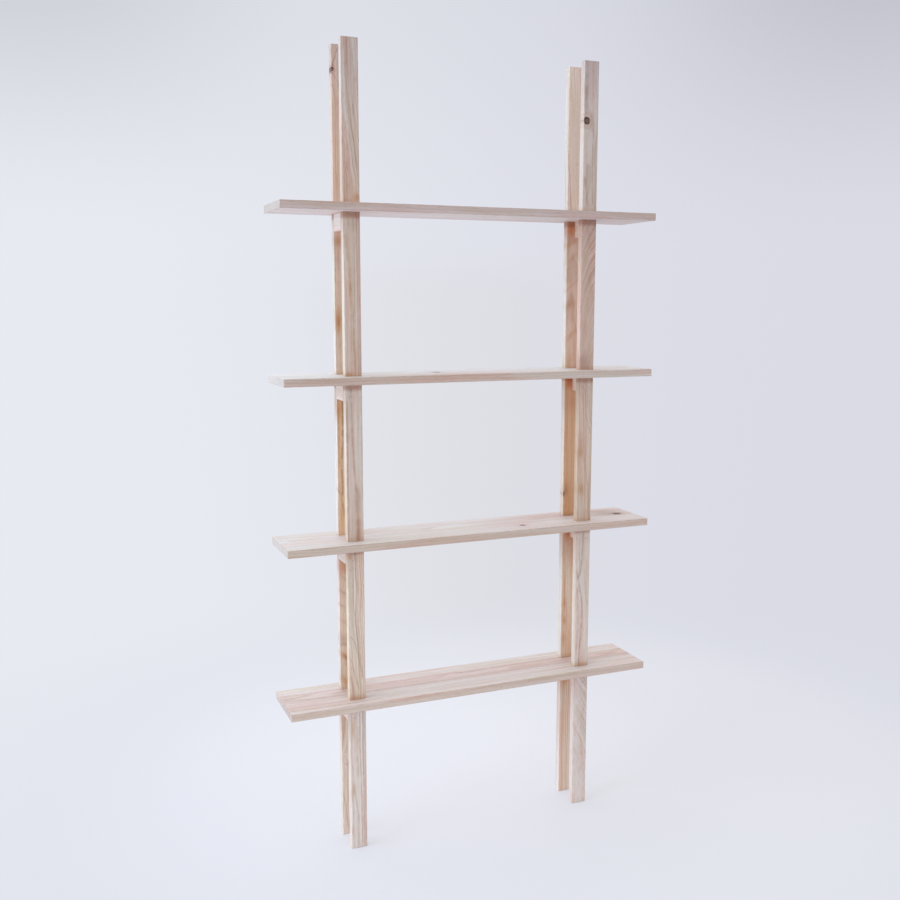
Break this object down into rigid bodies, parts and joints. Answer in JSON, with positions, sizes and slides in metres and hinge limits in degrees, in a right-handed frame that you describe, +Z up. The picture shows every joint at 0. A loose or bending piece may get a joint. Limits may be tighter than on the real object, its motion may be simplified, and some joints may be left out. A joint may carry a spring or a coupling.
{
  "type": "spine bookshelf",
  "caption": "Tall open bookshelf of raw planed pine: boards laid across two narrow spines, each a stack of short front and rear uprights with blocks between them.",
  "frame": {"origin": "on the floor, below the middle of the shelves in both directions", "axes": "+X to the right along the shelves as seen from the front, +Y from front to rear, +Z up"},
  "size_m": [1, 0.17, 2],
  "materials": {
    "pine_board": "raw planed pine, matt",
    "pine_lath": "raw planed pine, matt",
    "pine_block": "raw planed pine, matt, sawn ends",
    "nail_steel": "bright drawn steel"
  },
  "bodies": {
    "root": {"shelf_1": "pine_board", "shelf_2": "pine_board", "shelf_3": "pine_board", "shelf_4": "pine_board", "leg_left_front": "pine_lath", "upright_left_front_1": "pine_lath", "upright_left_front_2": "pine_lath", "upright_left_front_3": "pine_lath", "post_left_front": "pine_lath", "leg_left_rear": "pine_lath", "upright_left_rear_1": "pine_lath", "upright_left_rear_2": "pine_lath", "upright_left_rear_3": "pine_lath", "post_left_rear": "pine_lath", "block_left_1": "pine_block", "block_left_2": "pine_block", "block_left_3": "pine_block", "block_left_4": "pine_block", "leg_right_front": "pine_lath", "upright_right_front_1": "pine_lath", "upright_right_front_2": "pine_lath", "upright_right_front_3": "pine_lath", "post_right_front": "pine_lath", "leg_right_rear": "pine_lath", "upright_right_rear_1": "pine_lath", "upright_right_rear_2": "pine_lath", "upright_right_rear_3": "pine_lath", "post_right_rear": "pine_lath", "block_right_1": "pine_block", "block_right_2": "pine_block", "block_right_3": "pine_block", "block_right_4": "pine_block", "foot_nails_1": "nail_steel", "foot_nails_2": "nail_steel", "foot_nails_3": "nail_steel", "foot_nails_4": "nail_steel", "shelf_nails_1": "nail_steel", "shelf_nails_2": "nail_steel", "shelf_nails_3": "nail_steel", "shelf_nails_4": "nail_steel", "block_nails_left_1": "nail_steel", "block_nails_left_2": "nail_steel", "block_nails_left_3": "nail_steel", "block_nails_left_4": "nail_steel", "block_nails_right_1": "nail_steel", "block_nails_right_2": "nail_steel", "block_nails_right_3": "nail_steel", "block_nails_right_4": "nail_steel"}
  },
  "joints": []
}
